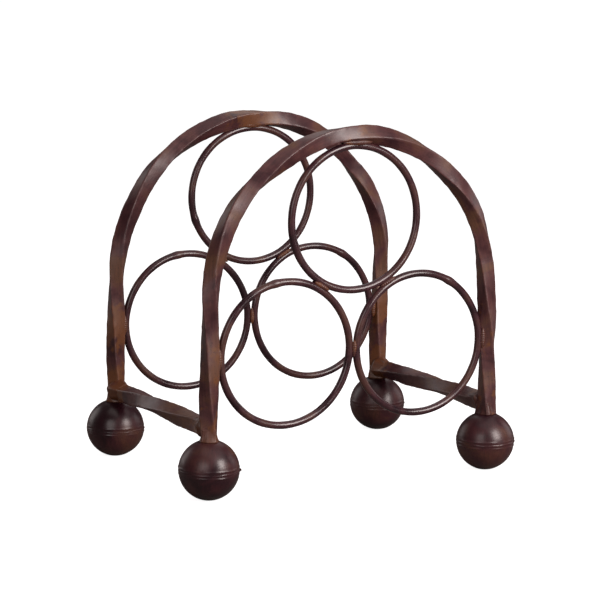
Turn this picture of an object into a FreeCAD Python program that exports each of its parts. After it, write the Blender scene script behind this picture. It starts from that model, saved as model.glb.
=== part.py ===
"""Wrought-iron rack for three wine bottles: two twisted arches on ball feet, with welded wire rings.

Millimetres. +X is the rack's right seen from the front, +Y runs from the front arch to the back arch,
and +Z is up. The origin is on the floor, under the middle of the rack.
"""
import FreeCAD, Part
import math
import os

Vector = FreeCAD.Vector
RIGHTWARD = Vector(1, 0, 0)
BACKWARD = Vector(0, 1, 0)
UPWARD = Vector(0, 0, 1)
SIDES = {"left": -1, "right": 1}
ENDS = {"front": -1, "back": 1}

# Stock
bar_side = 10.0                # square bar of the arches and stretchers, across its flats
bar_edge = 0.8                 # rolled edge of the bar, taken off each flat
wire_diameter = 5.0            # round rod of the rings

# Bottle rings
ring_bore = 90.0               # clear way through a ring
ring_floor_clearance = 42.0    # under the lower rings
weld_gap = 0.5                 # between a ring and what it is welded to

# Spacing of the two frames
frame_spacing = 148.0          # between the middles of the arches

# Ball feet, each of two pressed half shells
ball_diameter = 40.0
ball_wall = 1.5
ball_halves_gap = 0.6          # between the rims of the two halves, filled by the seam weld
seam_width = 3.5
seam_height = 0.4              # the seam stands this proud of the ball
stretcher_clearance = 0.5      # between the ball and the lowest edge of a stretcher

# Twist, left-handed: the length of a full turn, and how far the bar is turned at its middle
front_arch_lead = 349.0
front_arch_turn = 22.0
back_arch_lead = 407.0
back_arch_turn = -6.0
stretcher_lead = 380.0
left_stretcher_turn = -38.0
right_stretcher_turn = -7.0
section_step = 12.0            # between the sections that a twisted bar is drawn through

# Welds
wire_weld_length = 12.0        # bead in each groove between two rings
wire_weld_radius = 1.5
arch_weld_length = 15.0        # bead in each groove between a ring and its arch
arch_weld_radius = 1.9
weld_nose = 0.4                # radius of a bead's blunt ends
groove_root = 0.4              # from the middle of the joint to the bead
foot_weld_spread = 2.6         # collar on the ball around the leg, past the bar's corners
foot_weld_rise = 3.0           # height of that collar above the ball
butt_weld_spread = 1.1         # collar around a stretcher's end, past the bar's corners
butt_weld_length = 3.0         # how far that collar runs along the stretcher
smallest_weld = 1.0            # volume under which a scrap of weld is ground away

# Sizes that follow from those above
bar_half = bar_side / 2
bar_corner = math.hypot(bar_half, bar_half - bar_edge)
ball_radius = ball_diameter / 2
ring_radius = (ring_bore + wire_diameter) / 2
ring_outer = ring_bore / 2 + wire_diameter
ring_step = 2 * ring_outer + weld_gap
lower_ring_x = ring_step / 2
lower_ring_z = ring_floor_clearance + ring_outer
upper_ring_z = lower_ring_z + ring_step * math.sin(math.radians(60))
arch_radius = lower_ring_x + ring_outer + weld_gap + bar_half
arch_top = upper_ring_z + ring_outer + weld_gap + bar_half
springing = arch_top - arch_radius
foot_seat = ball_radius + math.sqrt(ball_radius ** 2 - bar_corner ** 2)
stretcher_z = ball_diameter + bar_corner + stretcher_clearance
stretcher_length = frame_spacing - bar_side
frame_y = {end: sign * frame_spacing / 2 for end, sign in ENDS.items()}
leg_x = {side: sign * arch_radius for side, sign in SIDES.items()}
ring_centres = {
    "left": (-lower_ring_x, lower_ring_z),
    "right": (lower_ring_x, lower_ring_z),
    "top": (0.0, upper_ring_z),
}


def single(shape):
    """The one solid that a cut leaves."""
    if len(shape.Solids) != 1:
        raise ValueError("expected one solid, got %d" % len(shape.Solids))
    return shape.Solids[0]


def carve(shape, neighbours):
    """What a piece keeps when its neighbours are taken out of it, one after the other."""
    for neighbour in neighbours:
        shape = shape.cut(neighbour)
    return shape


def cut_by(shape, *neighbours):
    """The one solid that is left of a piece beside its neighbours."""
    return single(carve(shape, neighbours))


def weld_metal(filler, *neighbours):
    """Weld metal that fills the room between its neighbours, in one run or a run on each side."""
    runs = [run for run in carve(filler, neighbours).Solids if run.Volume > smallest_weld]
    return runs[0] if len(runs) == 1 else Part.makeCompound(runs)


def arch_line(y):
    """Length of an arch's middle line, and the place and direction at a distance from its left foot."""
    start = foot_seat - bar_edge
    leg = springing - start
    bend = math.pi * arch_radius

    def at(distance):
        angle = min(max(distance - leg, 0), bend) / arch_radius
        forward = Vector(math.sin(angle), 0, math.cos(angle))
        straight = min(distance - leg, 0) + max(distance - leg - bend, 0)
        round_part = Vector(-math.cos(angle), 0, math.sin(angle)) * arch_radius
        return Vector(0, y, springing) + round_part + forward * straight, forward

    return 2 * leg + bend, at


def stretcher_line(x):
    """Length of a stretcher's middle line, from leg face to leg face, and the place at a distance."""
    start = Vector(x, -stretcher_length / 2, stretcher_z)
    return stretcher_length, lambda distance: (start + BACKWARD * distance, BACKWARD)


def bar_section(place, forward, side, turn):
    """Outline of the square bar with eased edges, turned left-handed from its side direction."""
    half_flat = math.atan2(bar_half - bar_edge, bar_half)
    corners = []
    for flat in range(4):
        for edge in (-half_flat, half_flat):
            angle = math.radians(turn + 90 * flat) + edge
            across = side * math.cos(angle) - forward.cross(side) * math.sin(angle)
            corners.append(place + across * bar_corner)
    return Part.makePolygon(corners + corners[:1])


def twisted_bar(line, side, lead, middle_turn):
    """Square bar along a middle line, twisted left-handed at one turn per lead."""
    length, at = line
    count = max(4, round(length / section_step))
    sections = []
    for index in range(count + 1):
        distance = length * index / count
        place, forward = at(distance)
        turn = middle_turn + 360 * (distance - length / 2) / lead
        sections.append(bar_section(place, forward, side, turn))
    return Part.makeLoft(sections, True, False)


def ball_centre(side, end):
    return Vector(leg_x[side], frame_y[end], ball_radius)


def whole_ball(side, end):
    return Part.makeSphere(ball_radius, ball_centre(side, end))


def arch(end, lead, turn):
    """An arch whose two feet are hollowed to sit on their balls."""
    bar = twisted_bar(arch_line(frame_y[end]), -BACKWARD, lead, turn)
    return cut_by(bar, whole_ball("left", end), whole_ball("right", end))


def ring_place(name, end):
    x, z = ring_centres[name]
    return Vector(x, frame_y[end], z)


def ring(name, end, own_arch):
    """A wire ring, with a seat where the twisted arch stands in its way."""
    hoop = Part.makeTorus(ring_radius, wire_diameter / 2, ring_place(name, end), BACKWARD)
    return cut_by(hoop, own_arch)


def half_shells(centre):
    """The upper and the lower pressed half of a ball."""
    wall = Part.makeSphere(ball_radius, centre).cut(Part.makeSphere(ball_radius - ball_wall, centre))
    corner = centre - Vector(ball_radius, ball_radius, 0)
    above = Part.makeBox(ball_diameter, ball_diameter, ball_diameter, corner + UPWARD * ball_halves_gap / 2)
    below = above.translated(-UPWARD * (ball_diameter + ball_halves_gap))
    return single(wall.common(above)), single(wall.common(below))


def seam_bead(centre, upper, lower):
    """Weld bead round the middle of a ball: a crowned band whose root fills the gap between the halves."""
    edge = math.sqrt(ball_radius ** 2 - (seam_width / 2) ** 2)
    root = ball_radius - ball_wall
    top = Vector(edge, 0, seam_width / 2)
    bottom = Vector(edge, 0, -seam_width / 2)
    crown = Part.Arc(bottom, Vector(ball_radius + seam_height, 0, 0), top).toShape()
    sides = [
        Part.makeLine(top, Vector(root, 0, ball_halves_gap / 2)),
        Part.makeLine(Vector(root, 0, ball_halves_gap / 2), Vector(root, 0, -ball_halves_gap / 2)),
        Part.makeLine(Vector(root, 0, -ball_halves_gap / 2), bottom),
    ]
    band = Part.Face(Part.Wire([crown] + sides)).revolve(Vector(), UPWARD, 360)
    return cut_by(band.translated(centre), upper, lower)


def bead(middle, along, length, radius):
    """A run of weld: an arc turned about its own chord, fat in the middle and blunt at both ends."""
    tip = Vector(length / 2, 0, 0)
    nose = Vector(0, weld_nose, 0)
    outline = [
        Part.Arc(nose - tip, Vector(0, radius, 0), nose + tip).toShape(),
        Part.makeLine(nose + tip, tip),
        Part.makeLine(tip, -tip),
        Part.makeLine(-tip, nose - tip),
    ]
    solid = Part.Face(Part.Wire(outline)).revolve(Vector(), RIGHTWARD, 360)
    solid.Placement = FreeCAD.Placement(middle, FreeCAD.Rotation(RIGHTWARD, along))
    return solid


def groove_weld(middle, along, length, radius, *neighbours):
    """A run of weld in the front groove between two neighbours, and one in the back groove."""
    runs = []
    for sign in ENDS.values():
        place = middle + BACKWARD * sign * (radius + groove_root)
        runs += weld_metal(bead(place, along, length, radius), *neighbours).Solids
    return Part.makeCompound(runs)


def ring_pair_weld(one, other, end, rings):
    """Weld between two rings, along the line that touches both."""
    a = ring_place(one, end)
    b = ring_place(other, end)
    along = (b - a).cross(BACKWARD)
    return groove_weld((a + b) * 0.5, along, wire_weld_length, wire_weld_radius, rings[one], rings[other])


def ring_arch_weld(name, end, own_arch, own_ring):
    """Weld where a ring lies against its arch: beside a leg, or under the crown."""
    outward = UPWARD if name == "top" else RIGHTWARD * SIDES[name]
    middle = ring_place(name, end) + outward * (ring_outer + weld_gap / 2)
    along = outward.cross(BACKWARD)
    return groove_weld(middle, along, arch_weld_length, arch_weld_radius, own_arch, own_ring)


def foot_weld(side, end, own_arch, stretcher):
    """Flared collar of weld metal where a leg stands on its ball."""
    base = foot_seat - foot_weld_spread
    height = ball_diameter + foot_weld_rise - base
    place = Vector(leg_x[side], frame_y[end], base)
    collar = Part.makeCone(bar_corner + foot_weld_spread, bar_half, height, place, UPWARD)
    return weld_metal(collar, whole_ball(side, end), own_arch, stretcher)


def stretcher_weld(side, end, own_arch, stretcher, own_foot_weld):
    """Collar of weld metal where a stretcher butts against a leg."""
    inward = -BACKWARD * ENDS[end]
    place = Vector(leg_x[side], frame_y[end], stretcher_z) + inward * (bar_half - butt_weld_spread)
    height = butt_weld_length + butt_weld_spread
    collar = Part.makeCone(bar_corner + butt_weld_spread, bar_half, height, place, inward)
    return weld_metal(collar, own_arch, stretcher, own_foot_weld, whole_ball(side, end))


def build_bars():
    """The two arches and the two stretchers between them."""
    bars = {
        "front_arch": arch("front", front_arch_lead, front_arch_turn),
        "back_arch": arch("back", back_arch_lead, back_arch_turn),
    }
    turns = {"left": left_stretcher_turn, "right": right_stretcher_turn}
    for side, turn in turns.items():
        bar = twisted_bar(stretcher_line(leg_x[side]), -RIGHTWARD, stretcher_lead, turn)
        bars[side + "_stretcher"] = cut_by(bar, bars["front_arch"], bars["back_arch"])
    return bars


def build_rings(end, own_arch):
    """The three rings of a frame, and their welds to each other and to the arch."""
    rings = {name: ring(name, end, own_arch) for name in ring_centres}
    nodes = {"%s_%s_ring" % (end, name): solid for name, solid in rings.items()}
    for one, other, place in (("left", "right", "bottom"), ("left", "top", "left"), ("right", "top", "right")):
        nodes["%s_rings_weld_%s" % (end, place)] = ring_pair_weld(one, other, end, rings)
    for name, solid in rings.items():
        nodes["%s_ring_arch_weld_%s" % (end, name)] = ring_arch_weld(name, end, own_arch, solid)
    return nodes


def build_foot(side, end, own_arch, stretcher):
    """A ball foot in three pieces, with the welds at the bottom of its leg."""
    prefix = "%s_%s_" % (end, side)
    centre = ball_centre(side, end)
    upper, lower = half_shells(centre)
    collar = foot_weld(side, end, own_arch, stretcher)
    return {
        prefix + "ball_upper": upper,
        prefix + "ball_lower": lower,
        prefix + "ball_seam": seam_bead(centre, upper, lower),
        prefix + "foot_weld": collar,
        prefix + "stretcher_weld": stretcher_weld(side, end, own_arch, stretcher, collar),
    }


def build():
    """Every piece of the rack by name."""
    nodes = build_bars()
    for end in ENDS:
        own_arch = nodes[end + "_arch"]
        nodes.update(build_rings(end, own_arch))
        for side in SIDES:
            nodes.update(build_foot(side, end, own_arch, nodes[side + "_stretcher"]))
    return nodes


os.makedirs("parts", exist_ok=True)
for name, solid in build().items():
    solid.exportStep("parts/%s.step" % name)
    print("%-30s %9.1f mm3, %d solid" % (name, solid.Volume, len(solid.Solids)))
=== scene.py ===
# %% [markdown]
# # A wrought-iron rack for three wine bottles
#
# The rack is smith's work: two square bars, twisted and bent into arches, stand one behind the other on
# hollow balls. Two twisted bars tie them together, and each arch holds three rings of round rod. The
# measured model fixes every size and place. This lesson gives each piece the surface that a hammer, a
# twisting wrench, a welding torch and a brush of antique lacquer leave on it.
#
# The first lines load the measured model.

# %% Load the measured rack
import math
from functools import partial

import bpy
import numpy as np
from mathutils import Matrix, Vector


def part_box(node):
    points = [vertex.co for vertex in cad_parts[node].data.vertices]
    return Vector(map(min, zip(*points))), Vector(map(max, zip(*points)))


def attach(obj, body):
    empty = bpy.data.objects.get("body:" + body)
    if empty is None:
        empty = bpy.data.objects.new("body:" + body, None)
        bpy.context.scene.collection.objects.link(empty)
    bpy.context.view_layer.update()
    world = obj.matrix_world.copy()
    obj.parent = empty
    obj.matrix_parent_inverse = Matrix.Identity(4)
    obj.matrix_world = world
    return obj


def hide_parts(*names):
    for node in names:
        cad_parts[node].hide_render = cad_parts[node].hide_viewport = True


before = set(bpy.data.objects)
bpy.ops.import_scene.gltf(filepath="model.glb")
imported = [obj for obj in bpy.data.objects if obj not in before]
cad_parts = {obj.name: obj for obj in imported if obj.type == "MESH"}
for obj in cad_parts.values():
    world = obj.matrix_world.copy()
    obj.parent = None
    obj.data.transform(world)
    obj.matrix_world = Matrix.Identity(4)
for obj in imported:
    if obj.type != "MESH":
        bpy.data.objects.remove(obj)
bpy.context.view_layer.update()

# %% [markdown]
# ## Sizes read from the rack
#
# A bar that is drawn again must lie exactly where the measured one lies. So the sizes come from the
# boxes of the measured pieces: a lower ball half gives the ball's radius and the leg's place, and a ring's
# box gives its rod and its middle. The arch's half circle is as wide as the two legs, and the gap left
# for the welds shows in the distance between the two lower rings.

# %% Read sizes and places
MM = 0.001
SIDES = {"left": -1, "right": 1}
ENDS = {"front": -1, "back": 1}
RINGS = ("left", "right", "top")
UPWARD = np.array([0.0, 0.0, 1.0])
BACKWARD = np.array([0.0, 1.0, 0.0])
LEFTWARD = np.array([-1.0, 0.0, 0.0])


def low_high(node):
    """Lowest and highest corner of a measured piece, as arrays."""
    low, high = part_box(node)
    return np.array(low), np.array(high)


def middle(node):
    return sum(low_high(node)) / 2


leg = {(end, side): middle("%s_%s_ball_lower" % (end, side))[:2] for end in ENDS for side in SIDES}
arch_radius = leg["front", "right"][0]
ball_radius = np.ptp(low_high("front_left_ball_lower"), axis=0)[0] / 2
seam_width = np.ptp(low_high("front_left_ball_seam"), axis=0)[2]
seam_proud = np.ptp(low_high("front_left_ball_seam"), axis=0)[0] / 2 - ball_radius
ring_low, ring_high = low_high("back_left_ring")
rod_radius = (ring_high - ring_low)[1] / 2
ring_outer = (ring_high - ring_low)[2] / 2
ring_radius = ring_outer - rod_radius
lower_ring_x = -ring_high[0] + ring_outer
weld_gap = 2 * (lower_ring_x - ring_outer)
bar_half = arch_radius - lower_ring_x - ring_outer - weld_gap
ring_x = {"left": -lower_ring_x, "right": lower_ring_x, "top": 0.0}
ring_z = {name: low_high("back_%s_ring" % name)[0][2] + ring_outer for name in RINGS}
arch_top = ring_z["top"] + ring_outer + weld_gap + bar_half
springing = arch_top - arch_radius
foot_z = low_high("front_arch")[0][2]
print("arch radius %.2f, bar %.2f, ball %.2f, rod %.2f mm"
      % tuple(x / MM for x in (arch_radius, 2 * bar_half, 2 * ball_radius, 2 * rod_radius)))

# %% [markdown]
# ## One builder for every skin
#
# Every piece is a grid of points: rows run along the piece and columns run around it. A bar's last column
# joins its first, a ring's last row joins its first as well, and a bar's two ends close with a fan of
# triangles on a middle point. The faces are index arithmetic on whole arrays. The signed volume tells
# whether the faces look inwards, and then all of them are turned over at once.
#
# Beside the mesh goes a UV map in metres, so a scratch that follows a bent bar has its real length, and
# two painted values for each point: how far out on an edge it lies, for wear and a painted highlight,
# and how near a weld, for rust and a painted shade.

# %% Weld places, and the heat that reaches a point, which also masks a painted shade
BURNT = {"front": 0.5, "back": 1.0}  # the torch burnt the back joints most
HEAT_REACH = 15 * MM
weld_names = [node for node in sorted(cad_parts) if "_weld" in node]
weld_spots = np.array([middle(node) for node in weld_names])
burnt = np.array([BURNT[node.split("_")[0]] for node in weld_names])


def heat_and_shade_at(points):
    """Heat of the welds, also the mask of a painted shade: the most of burnt * e to the minus half of
    (distance / reach) squared.
    """
    gaps = np.linalg.norm(points[..., None, :] - weld_spots, axis=-1)
    return (burnt * np.exp(-0.5 * (gaps / HEAT_REACH) ** 2)).max(axis=-1)


print("welds:", len(weld_spots))

# %% Grids to meshes
CORNERS = ((0, 0), (0, 1), (1, 1), (1, 0))  # steps down the rows and across the columns, in a quad's order


def patch(rows, ends=(None, None), loop=False, edge=None, along=1.0, around=1.0):
    """A grid of points and how it closes: ends are the middle points of the fans, loop joins its rows."""
    edge = np.zeros(rows.shape[:2]) if edge is None else edge
    return {"rows": rows, "ends": ends, "loop": loop, "edge": edge, "along": along, "around": around}


def patch_faces(part):
    """Corner indices and UVs of a patch's faces: each quad takes columns j, j + 1 of rows i, i + 1."""
    count, columns = part["rows"].shape[:2]
    index = np.arange(count * columns).reshape(count, columns)
    i, j = np.meshgrid(np.arange(count if part["loop"] else count - 1), np.arange(columns), indexing="ij")
    step = np.stack([np.stack([i + down, j + across]) for down, across in CORNERS])
    quads = index[step[:, 0] % count, step[:, 1] % columns].reshape(4, -1).T
    v_step = part["along"] / (count if part["loop"] else count - 1)
    uvs = np.stack([step[:, 1] * part["around"] / columns, step[:, 0] * v_step], -1).reshape(4, -1, 2)
    faces, face_uvs = [quads], [uvs.transpose(1, 0, 2)]
    tip = count * columns
    for row, turn, end in ((0, -1, part["ends"][0]), (count - 1, 1, part["ends"][1])):
        if end is None:
            continue
        ring = index[row]
        fan = np.stack([ring, np.roll(ring, -1), np.full(columns, tip)], 1)[:, ::turn]
        u = np.arange(columns)
        height = np.full(columns, row * v_step)
        spread = [np.stack([u, height]), np.stack([u + 1, height]), np.stack([u + 0.5, height])]
        fan_uvs = np.stack(spread, 1).transpose(2, 1, 0) * [part["around"] / columns, 1]
        faces.append(fan)
        face_uvs.append(fan_uvs[:, ::turn])
        tip += 1
    return faces, face_uvs


def signed_volume(points, faces):
    """Sum over triangles of a . (b x c) / 6; it is negative when the faces look inwards."""
    total = 0.0
    for group in faces:
        for k in range(1, group.shape[1] - 1):
            a, b, c = points[group[:, 0]], points[group[:, k]], points[group[:, k + 1]]
            total += np.einsum("ij,ij->", a, np.cross(b, c)) / 6
    return total


def skin(name, replaced, material, patches):
    """Makes one piece of closed patches and puts it in its measured node's place."""
    points, edges, faces, uvs = [], [], [], []
    start = 0
    for part in patches:
        tips = [np.array(end)[None] for end in part["ends"] if end is not None]
        own = np.concatenate([part["rows"].reshape(-1, 3)] + tips)
        own_faces, own_uvs = patch_faces(part)
        turn = -1 if signed_volume(own, own_faces) < 0 else 1
        faces += [(group + start)[:, ::turn] for group in own_faces]
        uvs += [group[:, ::turn] for group in own_uvs]
        points.append(own)
        edges.append(np.concatenate([part["edge"].ravel(), np.zeros(len(tips))]))
        start += len(own)
    points = np.concatenate(points)
    mesh = bpy.data.meshes.new(name)
    mesh.from_pydata(points.tolist(), [], [corners for group in faces for corners in group.tolist()])
    mesh.polygons.foreach_set("use_smooth", np.ones(len(mesh.polygons), bool))
    layer = mesh.uv_layers.new(name="metres")
    layer.data.foreach_set("uv", np.concatenate([group.reshape(-1) for group in uvs]).astype(np.float32))
    for label, values in (("edge_wear_and_highlight", np.concatenate(edges)), ("weld_heat_and_shade", heat_and_shade_at(points))):
        mesh.attributes.new(label, "FLOAT", "POINT").data.foreach_set("value", values.astype(np.float32))
    mesh.materials.append(material)
    mesh.update()
    piece = bpy.data.objects.new(name, mesh)
    bpy.context.scene.collection.objects.link(piece)
    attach(piece, "root")
    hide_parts(replaced)
    return piece


# %% [markdown]
# ## The unevenness of handwork
#
# Nothing that a hammer has shaped is quite straight. Two kinds of unevenness matter to the eye. A slow
# waver runs along a bar or a ring: three sine waves, each shorter and smaller than the last. Hammer marks
# are shallow round dents at random places. Both draw from one seed for each piece, so the rack comes
# out the same each time.

# %% Waver and hammer marks
def waver(distance, seed, longest, size):
    """Three sines of falling length and size: size / 2^k times sin(2 pi 1.7^k d / longest + phase)."""
    phases = np.random.default_rng(seed).uniform(0, 2 * np.pi, 3)
    waves = [np.sin(2 * np.pi * 1.7 ** k * distance / longest + phases[k]) / 2 ** k for k in range(3)]
    return size * sum(waves)


def hammer_marks(along, around, perimeter, seed, per_square_mm, reach, depth):
    """Depth of round dents: a sum of depth times e to the minus (gap / reach) squared, wrapped around."""
    rng = np.random.default_rng(seed)
    length = along.max() - along.min()
    count = int(per_square_mm * length * perimeter / MM ** 2)
    places = rng.uniform([along.min(), 0], [along.max(), perimeter], (count, 2))
    depths = depth * rng.uniform(0.3, 1.0, count)
    reaches = reach * rng.uniform(0.6, 1.4, count)
    sunk = np.zeros((len(along), len(around)))
    for place, deep, wide in zip(places, depths, reaches):
        gap_around = np.abs(around - place[1])
        gap_around = np.minimum(gap_around, perimeter - gap_around)
        gap_along = (along - place[0]) / wide
        sunk += deep * np.exp(-gap_along[:, None] ** 2 - (gap_around[None, :] / wide) ** 2)
    return sunk


def rumple(directions, seed, waves, size):
    """Gentle lumps on a ball: the mean of sines of the direction along eight random axes."""
    rng = np.random.default_rng(seed)
    axes = rng.normal(size=(8, 3))
    axes /= np.linalg.norm(axes, axis=1)[:, None]
    return size * np.sin(directions @ axes.T * waves + rng.uniform(0, 2 * np.pi, 8)).mean(axis=-1)


# %% [markdown]
# ## Finishes
#
# The whole rack wears one antique finish: a thin burgundy-brown lacquer brushed over dark iron. It is
# never one colour. It is dark where it pooled and thin and brown where the brush dragged, and near the
# welds, where the scale was burnt, a rust-brown shows through. Worn edges are paler and carry a painted
# highlight, and on the balls a painted shade darkens the coat round the leg. The lacquer is a dielectric,
# so its gloss is pale and its IOR is that of a resin.
#
# One function builds this coat, and each kind of piece gets its own mixture of it. Patterns read Object
# coordinates, whose unit is the metre, so a patch that is 20 mm across has a noise scale of 1 / 0.02. Brush
# marks read the UV map, because they follow the bar round its bend.

# %% Colour, and a function that adds a node
def linear(hex_colour):
    """Linear RGBA of an sRGB hex value: c / 12.92 up to 0.04045, and ((c + 0.055) / 1.055) ^ 2.4 above."""
    values = [int(hex_colour[k:k + 2], 16) / 255 for k in (1, 3, 5)]
    return [c / 12.92 if c <= 0.04045 else ((c + 0.055) / 1.055) ** 2.4 for c in values] + [1.0]


def add(tree, kind, settings=None, inputs=None):
    """Adds a node: settings are its own options; inputs are numbers, colours or other nodes' outputs."""
    node = tree.nodes.new("ShaderNode" + kind)
    for option, value in (settings or {}).items():
        setattr(node, option, value)
    for place, value in (inputs or {}).items():
        if isinstance(value, bpy.types.NodeSocket):
            tree.links.new(value, node.inputs[place])
        else:
            node.inputs[place].default_value = value
    return node


# %% The antique lacquer
RESIN_IOR = 1.5
# pale tone of worn edges, which also serves as a painted highlight along them
EDGE_WEAR_AND_HIGHLIGHT = "#775a57"


def lacquer(name, tones, rust_share, heat_pull, roughness, grain, weld_corner_shade=0.0):
    """Antique lacquer on iron: pooled, brushed and thin places, rust-brown by the welds, worn edges with a
    painted highlight, a painted shade round the welds, satin gloss.

    The tones are those of pooled, brushed and thin lacquer and of rust. rust_share is the rust far from a
    weld, heat_pull is how much more shows at one, and grain is the height of the finest roughness.
    The last argument is how much darker a painted shade makes the coat next to a weld.
    """
    pooled, brushed, thin, rust = tones
    material = bpy.data.materials.new(name)
    material.use_nodes = True
    tree = material.node_tree
    tree.nodes.clear()
    place = add(tree, "TexCoord").outputs["Object"]
    metres = add(tree, "UVMap", {"uv_map": "metres"}).outputs[0]
    # the edge value marks both wear and a painted highlight along the edges
    edge = add(tree, "Attribute", {"attribute_name": "edge_wear_and_highlight"}).outputs["Fac"]
    # the weld heat marks both the rust-brown by the welds and the painted shade round a weld
    heat = add(tree, "Attribute", {"attribute_name": "weld_heat_and_shade"}).outputs["Fac"]

    # patches about 25 mm across, where the lacquer ran thick or thin
    pools = add(tree, "TexNoise", None, {
        "Vector": place, "Scale": 1 / (25 * MM), "Detail": 3.0, "Roughness": 0.55, "Distortion": 0.5})
    # painted shade: how much darker the coat is painted in the corner round a weld, where the leg shades
    # the ball
    tone_and_corner_shade = add(tree, "Math", {"operation": "MULTIPLY_ADD"}, {
        0: heat, 1: -weld_corner_shade, 2: pools.outputs["Fac"]})
    shades = add(tree, "ValToRGB", None, {"Fac": tone_and_corner_shade.outputs[0]})
    stops = shades.color_ramp.elements
    stops[0].position, stops[0].color = 0.36, linear(pooled)
    stops[1].position, stops[1].color = 0.64, linear(thin)
    between = stops.new(0.5)
    between.color = linear(brushed)

    # brush marks 1 mm wide and about 14 mm long, along the piece
    drag = add(tree, "Mapping", None, {"Vector": metres, "Scale": (1 / (1.0 * MM), 1 / (14 * MM), 1.0)})
    strokes = add(tree, "TexNoise", None, {"Vector": drag.outputs[0], "Scale": 1.0, "Detail": 2.0})
    stroke_light = add(tree, "MapRange", None, {
        "Value": strokes.outputs["Fac"], "From Min": 0.3, "From Max": 0.7, "To Min": 0.8, "To Max": 1.2})
    stroked = add(tree, "VectorMath", {"operation": "SCALE"}, {
        0: shades.outputs["Color"], "Scale": stroke_light.outputs[0]})

    # rust-brown: blotches 9 mm across that grow together near a weld
    blotches = add(tree, "TexNoise", None, {
        "Vector": place, "Scale": 1 / (9 * MM), "Detail": 4.0, "Roughness": 0.6})
    reach = add(tree, "Math", {"operation": "MULTIPLY_ADD"}, {
        0: heat, 1: heat_pull, 2: blotches.outputs["Fac"]})
    rusted = add(tree, "MapRange", {"interpolation_type": "SMOOTHSTEP"}, {
        "Value": reach.outputs[0], "From Min": 0.78 - rust_share, "From Max": 0.94 - rust_share,
        "To Min": 0.0, "To Max": 0.8})
    stained = add(tree, "Mix", {"data_type": "RGBA"}, {
        0: rusted.outputs[0], 6: stroked.outputs[0], 7: linear(rust)})

    # worn edges show a paler, greyer iron, and this tone is also a painted highlight along the edges; a
    # fine noise breaks the line
    chips = add(tree, "TexNoise", None, {"Vector": place, "Scale": 1 / (3 * MM), "Detail": 3.0})
    wear_and_highlight_mask = add(tree, "Math", {"operation": "MULTIPLY"}, {0: edge, 1: chips.outputs["Fac"]})
    wear_and_highlight_share = add(tree, "MapRange", None, {
        "Value": wear_and_highlight_mask.outputs[0], "From Min": 0.3, "From Max": 0.62, "To Min": 0.0, "To Max": 0.22})
    worn_and_highlit = add(tree, "Mix", {"data_type": "RGBA"}, {
        0: wear_and_highlight_share.outputs[0], 6: stained.outputs[2], 7: linear(EDGE_WEAR_AND_HIGHLIGHT)})

    # dark specks of scale under the lacquer, under 1 mm across
    specks = add(tree, "TexNoise", None, {"Vector": place, "Scale": 1 / (0.9 * MM), "Detail": 1.0})
    speckle = add(tree, "MapRange", None, {
        "Value": specks.outputs["Fac"], "From Min": 0.62, "From Max": 0.72, "To Min": 1.0, "To Max": 0.55})
    colour = add(tree, "VectorMath", {"operation": "SCALE"}, {
        0: worn_and_highlit.outputs[2], "Scale": speckle.outputs[0]})

    gloss = add(tree, "MapRange", None, {
        "Value": pools.outputs["Fac"], "From Min": 0.3, "From Max": 0.7,
        "To Min": roughness - 0.07, "To Max": roughness + 0.09})
    skin_height = add(tree, "TexNoise", None, {"Vector": place, "Scale": 1 / (1.6 * MM), "Detail": 3.0})
    height = add(tree, "Math", {"operation": "ADD"}, {
        0: skin_height.outputs["Fac"], 1: strokes.outputs["Fac"]})
    bump = add(tree, "Bump", None, {"Height": height.outputs[0], "Strength": 0.6, "Distance": grain})
    shader = add(tree, "BsdfPrincipled", None, {
        "Base Color": colour.outputs[0], "Roughness": gloss.outputs[0], "Normal": bump.outputs[0],
        "IOR": RESIN_IOR, "Coat Weight": 0.1, "Coat Roughness": 0.25})
    add(tree, "OutputMaterial", None, {"Surface": shader.outputs[0]})
    return material


# twisted bar: brushed by hand, so it has the widest range of colour, from burgundy to leather brown
bar_lacquer = lacquer("lacquered_twisted_bar", ("#37171d", "#4f2c2d", "#5c3b2a", "#6a4020"),
                      rust_share=0.09, heat_pull=0.48, roughness=0.40, grain=0.05 * MM)
# ring rod: drawn smooth, so darker and glossier than the bar
rod_lacquer = lacquer("lacquered_drawn_rod", ("#241018", "#3e2228", "#4b2e28", "#55321f"),
                      rust_share=0.04, heat_pull=0.14, roughness=0.25, grain=0.02 * MM)
# pressed balls and their seams: thick dark lacquer, with a painted shade darkening the top of each ball
# round the leg
ball_lacquer = lacquer("lacquered_pressed_ball", ("#250a13", "#3a181d", "#4a2a20", "#56321e"),
                       rust_share=0.10, heat_pull=0.0, roughness=0.35, grain=0.03 * MM, weld_corner_shade=0.26)
# weld metal: the roughest and the most burnt, so rust-brown shows all over it
weld_lacquer = lacquer("lacquered_weld", ("#37191b", "#4c2924", "#583424", "#663b1f"),
                       rust_share=0.08, heat_pull=0.42, roughness=0.42, grain=0.09 * MM)
print("finishes:", [m.name for m in (bar_lacquer, rod_lacquer, ball_lacquer, weld_lacquer)])

# %% [markdown]
# ## Twisted bars
#
# A smith heats a square bar, holds one end in a vice and turns the other with a wrench. Each flat becomes a
# helix. A modifier could twist a bar, but it can't then follow the arch. So the bar is a square outline
# carried along its middle line and turned as it goes. The outline is a superellipse: its exponent of 12
# gives the small rounded edges that rolled stock has.
#
# The twist is left-handed. Its lead, the length of one full turn, and the turn at the bar's middle are
# those of the measured bars. In each arch the twist slipped once, where the iron was hottest, and the
# hammer left two gentle bends beside the true line.

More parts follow.
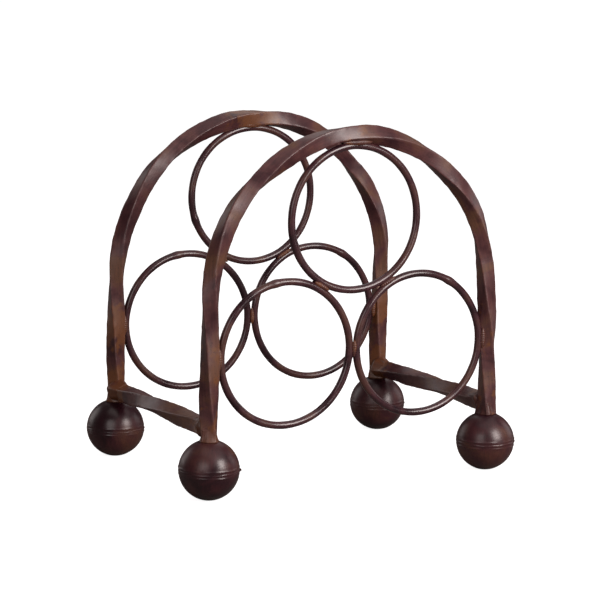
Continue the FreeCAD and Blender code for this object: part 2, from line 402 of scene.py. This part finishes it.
# %% Bars: the middle lines
TWISTS = {  # lead and middle turn of each bar
    "front_arch": (349 * MM, 22.0),
    "back_arch": (407 * MM, -6.0),
    "left_stretcher": (380 * MM, -38.0),
    "right_stretcher": (380 * MM, -7.0),
}
BENDS = {  # where a bar was bent off its line: distance along it, reach, and how far inwards
    "front_arch": ((400 * MM, 28 * MM, 2.4 * MM), (305 * MM, 38 * MM, 0.9 * MM)),
    "back_arch": ((162 * MM, 62 * MM, 2.4 * MM), (385 * MM, 34 * MM, -1.3 * MM)),
}
SLIPS = {  # where the twist ran early or late: distance along the bar, reach, and degrees
    "front_arch": (380 * MM, 45 * MM, -10.0),
    "back_arch": (430 * MM, 60 * MM, 12.0),
}
ARCH_LEG = springing - foot_z
ARCH_LENGTH = 2 * ARCH_LEG + math.pi * arch_radius
print("an arch's bar: %.0f mm long" % (ARCH_LENGTH / MM))


def arch_line(distance, y):
    """Middle line of an arch: up a leg, round half a circle, and down the other leg."""
    half_circle = math.pi * arch_radius
    angle = np.clip(distance - ARCH_LEG, 0, half_circle) / arch_radius
    straight = np.minimum(distance - ARCH_LEG, 0) + np.maximum(distance - ARCH_LEG - half_circle, 0)
    zero = np.zeros_like(angle)
    forward = np.stack([np.sin(angle), zero, np.cos(angle)], -1)
    spoke = np.stack([-np.cos(angle), zero, np.sin(angle)], -1)
    return np.array([0, y, springing]) + spoke * arch_radius + forward * straight[:, None], forward


def turn_at(bar, distance, length):
    """Middle turn + 360 degrees * (distance - half the length) / lead, and the bar's own slip."""
    lead, middle_turn = TWISTS[bar]
    place, width, degrees = SLIPS.get(bar, (0.0, 1.0, 0.0))
    slip = degrees * np.exp(-0.5 * ((distance - place) / width) ** 2)
    return np.radians(middle_turn + slip + 360 * (distance - length / 2) / lead)


def stretcher_line(distance, start):
    """Middle line of a stretcher: straight back from its front end."""
    forward = np.tile(BACKWARD, (len(distance), 1))
    return start + forward * distance[:, None], forward


# %% Bars: the twisted skin
ROUNDING = 12          # exponent of the square outline
CROWDING = 0.7         # how much closer together the outline's points lie at its corners
BAR_COLUMNS = 64
ROW_STEP = 1.2 * MM
PERIMETER = 8 * bar_half
DENTS_PER_MM2 = 0.010
DENT_REACH = 5.0 * MM
DENT_DEPTH = 0.14 * MM
NICKS = 0.16 * MM      # how deep the edges are nicked
SWELL = 0.14 * MM      # how far the faces rise and fall
DRIFT = 0.3 * MM       # how far the middle line wavers, each way
UNEVEN_TWIST = math.radians(1.5)


def outline_angles(columns):
    """Angles round the outline, closer together at its four corners: a + CROWDING sin(4 a) / 4."""
    even = np.arange(columns) * 2 * math.pi / columns
    return even + CROWDING * np.sin(4 * even) / 4


def square_radius(angles):
    """Superellipse: half the side over the nth root of |cos|^n + |sin|^n, where n is ROUNDING."""
    powers = np.abs(np.cos(angles)) ** ROUNDING + np.abs(np.sin(angles)) ** ROUNDING
    return bar_half / powers ** (1 / ROUNDING)


def twisted_bar(node, line, length, side, seed):
    """Square outline carried along the line and turned by turn_at, with dents, nicks, swells and bends."""
    along = np.linspace(0, length, round(length / ROW_STEP))
    centre, forward = line(along)
    angles = outline_angles(BAR_COLUMNS)
    radius = square_radius(angles)
    edge = (radius - bar_half) / (radius.max() - bar_half)
    around = np.arange(BAR_COLUMNS) * PERIMETER / BAR_COLUMNS
    dents = hammer_marks(along, around, PERIMETER, seed, DENTS_PER_MM2, DENT_REACH, DENT_DEPTH)
    nicks = np.abs(waver(along, seed + 1, 23 * MM, NICKS))[:, None] * edge[None, :]
    swell = waver(along, seed + 2, 61 * MM, SWELL)[:, None]
    reach = radius[None, :] - dents - nicks + swell
    turn = turn_at(node, along, length) + waver(along, seed + 3, 88 * MM, UNEVEN_TWIST)
    facing = turn[:, None] + angles[None, :]
    bend = np.cross(forward, side)
    across = side * np.cos(facing)[..., None] - bend[:, None, :] * np.sin(facing)[..., None]
    inwards = waver(along, seed + 5, 120 * MM, DRIFT)
    for place, width, size in BENDS.get(node, ()):
        inwards = inwards + size * np.exp(-0.5 * ((along - place) / width) ** 2)
    drift = side * waver(along, seed + 4, 140 * MM, DRIFT)[:, None] + bend * inwards[:, None]
    rows = (centre + drift)[:, None, :] + across * reach[..., None]
    edges = np.broadcast_to(edge, rows.shape[:2])
    ends = (rows[0].mean(0), rows[-1].mean(0))
    part = patch(rows, ends, edge=edges, along=length, around=PERIMETER)
    return skin(node + "_forged", node, bar_lacquer, [part])


for order, end in enumerate(ENDS):
    line = partial(arch_line, y=leg[end, "left"][1])
    piece = twisted_bar(end + "_arch", line, ARCH_LENGTH, -BACKWARD, 11 + 20 * order)
    print(piece.name, len(piece.data.polygons), "faces")
for order, side in enumerate(SIDES):
    low, high = low_high(side + "_stretcher")
    start = np.array([leg["front", side][0], low[1], (low[2] + high[2]) / 2])
    line = partial(stretcher_line, start=start)
    piece = twisted_bar(side + "_stretcher", line, high[1] - low[1], LEFTWARD, 71 + 20 * order)
    print(piece.name, len(piece.data.polygons), "faces")

# %% [markdown]
# ## Rings
#
# Each ring is a length of 5 mm rod, rolled to a circle and closed with a butt weld. It is a torus worked
# out from two angles. Rolling by hand leaves it a little out of flat and a little out of round, and the
# butt weld leaves a slight swelling where the ends meet, next to the weld that holds the ring.

# %% Rings: bent rod
RING_ROWS = 300
ROD_COLUMNS = 24
CLOSURES = {"left": 100.0, "right": 60.0, "top": 200.0}  # where each butt weld lies, in degrees from +X
CLOSURE_SWELLING = 0.35 * MM
CLOSURE_WIDTH = 3.0 * MM


def rod_ring(end, name, seed):
    """Torus: centre + (R + r cos b) * spoke(a) + r sin b * axis, with a swelling of r at the butt weld."""
    a = np.arange(RING_ROWS) * 2 * math.pi / RING_ROWS
    b = np.arange(ROD_COLUMNS) * 2 * math.pi / ROD_COLUMNS
    rng = np.random.default_rng(seed)
    phases = rng.uniform(0, 2 * math.pi, 4)
    out_of_round = 0.22 * MM * np.sin(2 * a + phases[0]) + 0.1 * MM * np.sin(3 * a + phases[1])
    out_of_flat = 0.25 * MM * np.sin(2 * a + phases[2]) + 0.12 * MM * np.sin(5 * a + phases[3])
    from_closure = (a - math.radians(CLOSURES[name]) + math.pi) % (2 * math.pi) - math.pi
    swelling = CLOSURE_SWELLING * np.exp(-(from_closure * ring_radius / CLOSURE_WIDTH) ** 2)
    thick = rod_radius + swelling + 0.04 * MM * np.sin(17 * a + phases[1])
    spoke = np.stack([np.cos(a), np.zeros_like(a), np.sin(a)], -1)
    ring_middle = np.array([ring_x[name], leg[end, "left"][1], ring_z[name]])
    bent = spoke * (ring_radius + out_of_round)[:, None]
    middle_line = ring_middle + bent + np.outer(out_of_flat, BACKWARD)
    spread = (thick[:, None] * np.cos(b))[..., None] * spoke[:, None, :]
    rise = (thick[:, None] * np.sin(b))[..., None] * BACKWARD
    rows = middle_line[:, None, :] + spread + rise
    node = "%s_%s_ring" % (end, name)
    part = patch(rows, loop=True, along=2 * math.pi * ring_radius, around=2 * math.pi * rod_radius)
    return skin(node + "_rod", node, rod_lacquer, [part])


for order, end in enumerate(ENDS):
    for place, name in enumerate(RINGS):
        piece = rod_ring(end, name, 201 + 10 * order + place)
print("rings of", len(piece.data.polygons), "faces each")

# %% [markdown]
# ## Ball feet
#
# A foot is two half balls pressed from sheet and welded rim to rim. The press leaves the rim turned out a
# little, and the weld between the rims is a low crowned bead with ripples, so the eye sees two fine
# lines round the middle. A half is a profile turned about the ball's own upright axis: from the pole down
# the outside, over the rim, and back up the inside to the pole, which closes it as a real shell.

# %% Balls: half shells
SHEET = 1.5 * MM
RIM_GAP = 0.3 * MM     # from the ball's middle to a half's rim
LIP = 0.22 * MM        # how far the rolled rim of a half stands out
LIP_PLACE = 2.2 * MM   # from the ball's middle to the lip's crest
LIP_WIDTH = 0.5 * MM
BROAD_LUMPS = (5.0, 0.16 * MM)  # waves over the ball's radius, and their height
FINE_LUMPS = (14.0, 0.05 * MM)
BALL_COLUMNS = 120


def half_ball(end, side, half, seed):
    """Profile radius r(t) turned about the upright axis; r grows by a lip near the rim and has lumps."""
    sign = 1 if half == "upper" else -1
    rim = math.asin(RIM_GAP / ball_radius)
    outside = math.pi / 2 - (math.pi / 2 - rim) * np.linspace(0, 1, 61)[1:] ** 0.8
    inside = np.linspace(rim, math.pi / 2, 14)[:-1]
    height = np.concatenate([outside, inside])
    above = np.sin(outside) * ball_radius
    lip = LIP * np.exp(-((above - LIP_PLACE) / LIP_WIDTH) ** 2)
    reach = np.concatenate([np.full(len(outside), ball_radius), np.full(len(inside), ball_radius - SHEET)])
    lip_profile = np.concatenate([lip, np.zeros(len(inside))])
    turn = np.arange(BALL_COLUMNS) * 2 * math.pi / BALL_COLUMNS
    flat = np.cos(height)[:, None]
    rise = sign * np.sin(height)[:, None] + 0 * turn
    direction = np.stack([flat * np.cos(turn), flat * np.sin(turn), rise], -1)
    lumps = rumple(direction, seed, *BROAD_LUMPS) + rumple(direction, seed + 1, *FINE_LUMPS)
    lumps = lumps - max(lumps[0].max(), 0)
    centre = np.array([*leg[end, side], ball_radius])
    uneven = 1 + 0.6 * np.sin(3 * turn + seed) + 0.5 * np.sin(8 * turn + 2 * seed)
    uneven_lip = lip_profile[:, None] * uneven
    rows = centre + direction * (reach[:, None] + uneven_lip + lumps)[..., None]
    pole = np.array([0, 0, sign])
    ends = (centre + pole * (ball_radius + lumps[0].mean()), centre + pole * (ball_radius - SHEET))
    part = patch(rows, ends, along=math.pi * ball_radius, around=2 * math.pi * ball_radius)
    node = "%s_%s_ball_%s" % (end, side, half)
    return skin(node + "_pressed", node, ball_lacquer, [part])


# %% Balls: the seam
SEAM_ROWS = 360
SEAM_COLUMNS = 16
SEAM_RIPPLE = 1.7 * MM  # spacing of the ripples that the torch leaves
SEAM_ROOT = 0.6 * MM    # how deep the bead's middle lies under the ball's skin
SEAM_BACK = 0.5 * MM    # how much deeper its inner side lies
BURR = 1.0 * MM         # height of the burr on the front left ball
SMALL_BURR = 0.35       # the other balls' burrs, as a share of it
BURR_WIDTH = 1.1 * MM
BURR_PLACE = math.radians(-28)


def seam_bead(end, side, seed):
    """Low bead round the ball: a half-round section, rippled along its length, with one burr."""
    a = np.arange(SEAM_ROWS) * 2 * math.pi / SEAM_ROWS
    b = np.arange(SEAM_COLUMNS) * 2 * math.pi / SEAM_COLUMNS
    rng = np.random.default_rng(seed)
    phases = rng.uniform(0, 6, 4)
    ripples = round(2 * math.pi * ball_radius / SEAM_RIPPLE)
    uneven = 0.10 * np.sin(ripples * a) + 0.22 * np.sin(7 * a + phases[0])
    uneven = uneven + 0.15 * np.sin(19 * a + phases[1])
    wander = 0.22 * MM * np.sin(3 * a + phases[2]) + 0.12 * MM * np.sin(11 * a + phases[3])
    burr_at = BURR_PLACE + rng.uniform(-0.04, 0.04)
    from_burr = ((a - burr_at + math.pi) % (2 * math.pi) - math.pi) * ball_radius
    burr = BURR * np.exp(-(from_burr / BURR_WIDTH) ** 4)
    burr = burr * (1.0 if (end, side) == ("front", "left") else SMALL_BURR)
    proud = 0.35 * seam_proud * (1 + uneven) + burr
    out = np.where(np.cos(b) > 0, 1.0, 0.0)
    crown = (SEAM_ROOT + proud[:, None]) * np.cos(b) * out
    root = SEAM_BACK * np.cos(b) * (1 - out)
    reach = ball_radius - SEAM_ROOT + crown + root
    height = ball_radius + wander[:, None] + 0.33 * seam_width * np.sin(b)
    spoke = np.stack([np.cos(a), np.sin(a), 0 * a], -1)
    foot = np.array([*leg[end, side], 0.0])
    rows = foot + spoke[:, None, :] * reach[..., None] + height[..., None] * UPWARD
    node = "%s_%s_ball_seam" % (end, side)
    part = patch(rows, loop=True, along=2 * math.pi * ball_radius, around=4 * MM)
    return skin(node + "_bead", node, ball_lacquer, [part])


for order, end in enumerate(ENDS):
    for place, side in enumerate(SIDES):
        seed = 401 + 40 * order + 10 * place
        half_ball(end, side, "upper", seed)
        half_ball(end, side, "lower", seed + 2)
        piece = seam_bead(end, side, seed + 4)
print("seam of", len(piece.data.polygons), "faces")

# %% [markdown]
# ## Welds
#
# Two shapes of weld hold the rack together. Where a bar ends on a ball or against a leg, the smith runs the
# torch all the way round and leaves a collar: wide at the foot, hollow in its slope, lumpy round its
# edge. Where two round rods touch, a short bead fills the groove on each side. Both are drawn slightly
# sunk into their neighbours, as fused metal is.

# %% Welds: collars
COLLAR_COLUMNS = 72
COLLAR_ROWS = 14
SUNK = 0.35 * MM       # how far a collar's thin edge lies under the bar's skin
FOOT_LIFT = 0.5 * MM   # from the bottom of the measured foot weld to the collar's
FOOT_INSET = 0.4 * MM  # how much less far than the measured weld it spreads
FOOT_CLIMB = 4.5 * MM  # how far past the measured weld it climbs
FOOT_HOLLOW = {  # how hollow each foot's collar is
    ("front", "left"): 2.4,
    ("front", "right"): 1.3,
    ("back", "left"): 1.9,
    ("back", "right"): 1.5,
}
STRETCHER_COLLAR = {  # how much wider and longer than the measured weld, and how hollow
    "front": (0.2 * MM, 4.5 * MM, 1.5),
    "back": (0.8 * MM, 6.5 * MM, 1.0),
}


def collar(base, axis, forward, side, turn, spread, rise, hollow, seed):
    """Skirt round a bar: its reach falls from its foot to inside the bar's skin as (1 - t) ^ hollow."""
    b = outline_angles(COLLAR_COLUMNS)
    rng = np.random.default_rng(seed)
    lump = sum(np.sin(k * b + rng.uniform(0, 6)) / k ** 0.5 for k in (2, 3, 5, 7)) * 0.2 * MM
    t = np.linspace(0, 1, COLLAR_ROWS)[:, None]
    ripple = 0.12 * MM * np.sin(22 * b + rng.uniform(0, 6) + 3 * t)
    bar_skin = square_radius(b)
    inside = bar_skin - SUNK
    foot = 0.5 * spread + 0.5 * (bar_skin + spread - bar_skin.max()) + 1.6 * lump
    reach = inside + (foot - inside) * (1 - t) ** hollow + (lump + ripple) * np.sin(math.pi * t) ** 0.8
    climb = t * (rise + 2.0 * lump)
    across = side * np.cos(turn + b)[:, None] - np.cross(forward, side) * np.sin(turn + b)[:, None]
    rows = base + across * reach[..., None] + axis * climb[..., None]
    ends = (base - axis * 0.3 * MM, base + axis * rise * 0.8)
    return patch(rows, ends, along=rise, around=2 * math.pi * spread)


for order, end in enumerate(ENDS):
    for place, side in enumerate(SIDES):
        seed = 601 + 40 * order + 10 * place
        node = "%s_%s_foot_weld" % (end, side)
        low, high = low_high(node)
        base = np.array([*leg[end, side], low[2] + FOOT_LIFT])
        distance = 0 if side == "left" else ARCH_LENGTH
        forward = UPWARD if side == "left" else -UPWARD
        turn = turn_at(end + "_arch", distance, ARCH_LENGTH)
        spread = (high - low)[0] / 2 - FOOT_INSET
        rise = high[2] - base[2] + FOOT_CLIMB
        part = collar(base, UPWARD, forward, -BACKWARD, turn, spread, rise, FOOT_HOLLOW[end, side], seed)
        skin(node + "_bead", node, weld_lacquer, [part])

        node = "%s_%s_stretcher_weld" % (end, side)
        low, high = low_high(node)
        wider, longer, hollow = STRETCHER_COLLAR[end]
        inward = -ENDS[end] * BACKWARD
        at_leg = low[1] if end == "front" else high[1]
        bar_length = np.ptp(low_high(side + "_stretcher"), axis=0)[1]
        base = np.array([leg[end, side][0], at_leg, middle(side + "_stretcher")[2]])
        distance = 0 if end == "front" else bar_length
        turn = turn_at(side + "_stretcher", distance, bar_length)
        spread = (high - low)[0] / 2 + wider
        rise = (high - low)[1] + longer
        part = collar(base, inward, BACKWARD, LEFTWARD, turn, spread, rise, hollow, seed + 5)
        skin(node + "_bead", node, weld_lacquer, [part])
print("collars: 8")

# %% Welds: beads in the grooves
BEAD_ROWS = 48
BEAD_COLUMNS = 20
BEAD_RIPPLE = 1.5 * MM
BEAD_FIT = 0.98        # a bead's size as a share of the measured weld's
TOP_STRETCH = 1.5      # the beads at the crown run on past the measured weld


def bead(centre, along, length, thick, seed):
    """Long drop: radius = thick * (1 - x^2)^0.6 * ripple, with its ends closed to points."""
    phases = np.random.default_rng(seed).uniform(0, 6, 3)
    x = np.linspace(-1, 1, BEAD_ROWS + 2)[1:-1]
    b = np.arange(BEAD_COLUMNS) * 2 * math.pi / BEAD_COLUMNS
    ripple = 1 + 0.07 * np.sin(math.pi * x * length / BEAD_RIPPLE + phases[0])
    ripple = ripple + 0.08 * np.sin(3 * x + phases[1])
    radius = thick * (1 - x ** 2) ** 0.6 * ripple
    across = BACKWARD * np.cos(b)[:, None] + np.cross(along, BACKWARD) * np.sin(b)[:, None]
    bow = BACKWARD * (0.25 * MM * np.sin(2.1 * x + phases[2]))[:, None]
    rows = (centre + along * (x * length / 2)[:, None] + bow)[:, None, :] + across * radius[:, None, None]
    ends = (centre - along * length / 2 + bow[0], centre + along * length / 2 + bow[-1])
    return patch(rows, ends, along=length, around=2 * math.pi * thick)


def groove_weld(node, along, seed, stretch=BEAD_FIT):
    """A bead in the front groove of a joint and one in the back groove, stretched along its line."""
    low, high = low_high(node)
    length = stretch * (high - low) @ np.abs(along)
    thick = (high - low)[1] / 4 * BEAD_FIT
    parts = []
    for sign in (-1, 1):
        place = middle(node) + sign * ((high - low)[1] / 2 - thick) * BACKWARD
        parts.append(bead(place, along, length, thick, seed + sign))
    return skin(node + "_bead", node, weld_lacquer, parts)


SLANT = math.radians(30)
PAIR_LINES = {  # the way a bead between two rings runs
    "bottom": (0, 0, 1),
    "left": (math.cos(SLANT), 0, -math.sin(SLANT)),
    "right": (math.cos(SLANT), 0, math.sin(SLANT)),
}
ARCH_LINES = {"left": (0, 0, 1), "right": (0, 0, 1), "top": (1, 0, 0)}
for order, end in enumerate(ENDS):
    for place, (name, along) in enumerate(PAIR_LINES.items()):
        node = "%s_rings_weld_%s" % (end, name)
        groove_weld(node, np.array(along, float), 801 + 20 * order + 3 * place)
    for place, (name, along) in enumerate(ARCH_LINES.items()):
        node = "%s_ring_arch_weld_%s" % (end, name)
        stretch = TOP_STRETCH if name == "top" else BEAD_FIT
        piece = groove_weld(node, np.array(along, float), 901 + 20 * order + 3 * place, stretch)
print("groove welds: 12, of", len(piece.data.polygons), "faces each")

# %% [markdown]
# ## Floor, light and camera
#
# The rack stands on a plain pale floor. Six soft boxes light it. Two stand on the camera's side, to its
# right and left, and draw a soft patch on the shoulder of each ball. One hangs overhead and lights the
# crown of the arches. Two stand behind to the left and right, for a sheen along the far edges, and the
# last looks down from behind.
#
# The camera sees a white room. The floor glows for the camera alone, and more so further away, where it
# melts into the white. To all other light the floor is a mid grey and the room a dark warm grey, so
# the iron keeps its dark outlines.

# %% Floor
HALF_FLOOR = 12.0
FLOOR_TURNS = ((-1, -1), (1, -1), (1, 1), (-1, 1))
floor_mesh = bpy.data.meshes.new("floor")
floor_corners = [(x * HALF_FLOOR, y * HALF_FLOOR, 0) for x, y in FLOOR_TURNS]
floor_mesh.from_pydata(floor_corners, [], [(0, 1, 2, 3)])
floor = bpy.data.objects.new("floor", floor_mesh)
bpy.context.scene.collection.objects.link(floor)
paper = bpy.data.materials.new("matt_white_paper")
paper.use_nodes = True
card = paper.node_tree
card.nodes.clear()
seen = add(card, "LightPath").outputs["Is Camera Ray"]
whiteness = add(card, "Mix", {"data_type": "RGBA"}, {
    0: seen, 6: linear("#77726f"), 7: linear("#c8cbce")})
spot = add(card, "TexCoord").outputs["Object"]
away = add(card, "VectorMath", {"operation": "LENGTH"}, {0: spot})
glow = add(card, "MapRange", {"interpolation_type": "SMOOTHSTEP"}, {
    "Value": away.outputs["Value"], "From Min": 0.3, "From Max": 2.5, "To Min": 0.9, "To Max": 1.0})
lit_from_below = add(card, "Math", {"operation": "MULTIPLY"}, {0: seen, 1: glow.outputs[0]})
sheet = add(card, "BsdfPrincipled", None, {
    "Base Color": whiteness.outputs[2], "Roughness": 0.9, "Emission Color": (1, 1, 1, 1),
    "Emission Strength": lit_from_below.outputs[0]})
add(card, "OutputMaterial", None, {"Surface": sheet.outputs[0]})
floor_mesh.materials.append(paper)
print("floor: %.0f m across" % (2 * HALF_FLOOR))

# %% Camera
LENS_MM = 144.0
SENSOR_MM = 36.0
AZIMUTH, PITCH, ROLL = (math.radians(x) for x in (-28.57, 9.02, 0.72))
CAMERA_PLACE = Vector((-0.7921, -1.4629, 0.3738))
back = Vector((math.sin(AZIMUTH) * math.cos(PITCH), -math.cos(AZIMUTH) * math.cos(PITCH), math.sin(PITCH)))
level = Vector((math.cos(AZIMUTH), math.sin(AZIMUTH), 0))
rising = back.cross(level)
right = math.cos(ROLL) * level + math.sin(ROLL) * rising
top = -math.sin(ROLL) * level + math.cos(ROLL) * rising
camera = bpy.data.objects.new("camera", bpy.data.cameras.new("camera"))
camera.data.lens = LENS_MM
camera.data.sensor_width = SENSOR_MM
camera.data.clip_end = 50
camera.matrix_world = Matrix((
    (right.x, top.x, back.x, CAMERA_PLACE.x),
    (right.y, top.y, back.y, CAMERA_PLACE.y),
    (right.z, top.z, back.z, CAMERA_PLACE.z),
    (0, 0, 0, 1),
))
bpy.context.scene.collection.objects.link(camera)
bpy.context.scene.camera = camera
print("lens: %.0f mm" % LENS_MM)

# %% Lights
TARGET = Vector((0, 0, 0.11))


def soft_box(name, azimuth, elevation, distance, width, height, watts, tint):
    """Area light that faces the rack: azimuth from the camera's own, both angles in degrees."""
    a, e = AZIMUTH + math.radians(azimuth), math.radians(elevation)
    away = Vector((math.sin(a) * math.cos(e), -math.cos(a) * math.cos(e), math.sin(e)))
    light = bpy.data.objects.new(name, bpy.data.lights.new(name, "AREA"))
    light.data.shape = "RECTANGLE"
    light.data.size, light.data.size_y = width, height
    light.data.energy = watts
    light.data.color = linear(tint)[:3]
    light.visible_camera = False
    facing = away.to_track_quat("Z", "Y").to_matrix().to_4x4()
    light.matrix_world = Matrix.Translation(TARGET + away * distance) @ facing
    bpy.context.scene.collection.objects.link(light)


soft_box("box_right", 50, 22, 1.3, 0.5, 0.7, 16.5, "#fff3ef")
soft_box("box_left", -20, 18, 1.5, 0.8, 0.8, 5, "#fff5f2")
soft_box("box_overhead", 60, 78, 1.4, 1.8, 1.8, 7, "#fff3ef")
soft_box("sheen_back_left", -122, 14, 1.6, 0.8, 0.9, 3.0, "#fff6f4")
soft_box("sheen_back_right", 118, 14, 1.6, 0.8, 0.9, 3.0, "#fff6f4")
soft_box("box_behind", 178, 42, 1.7, 1.3, 1.0, 3.6, "#fff6f4")

world = bpy.data.worlds.new("grey_room")
world.use_nodes = True
bpy.context.scene.world = world
room = world.node_tree
room.nodes.clear()
rays = add(room, "LightPath")
shade = add(room, "Mix", {"data_type": "RGBA"}, {
    0: rays.outputs["Is Camera Ray"], 6: linear("#4e4442"), 7: linear("#ffffff")})
walls = add(room, "Background", None, {"Color": shade.outputs[2], "Strength": 1.0})
add(room, "OutputWorld", None, {"Surface": walls.outputs[0]})
bpy.context.scene.view_settings.view_transform = "Standard"
print("lights:", len(bpy.data.lights))
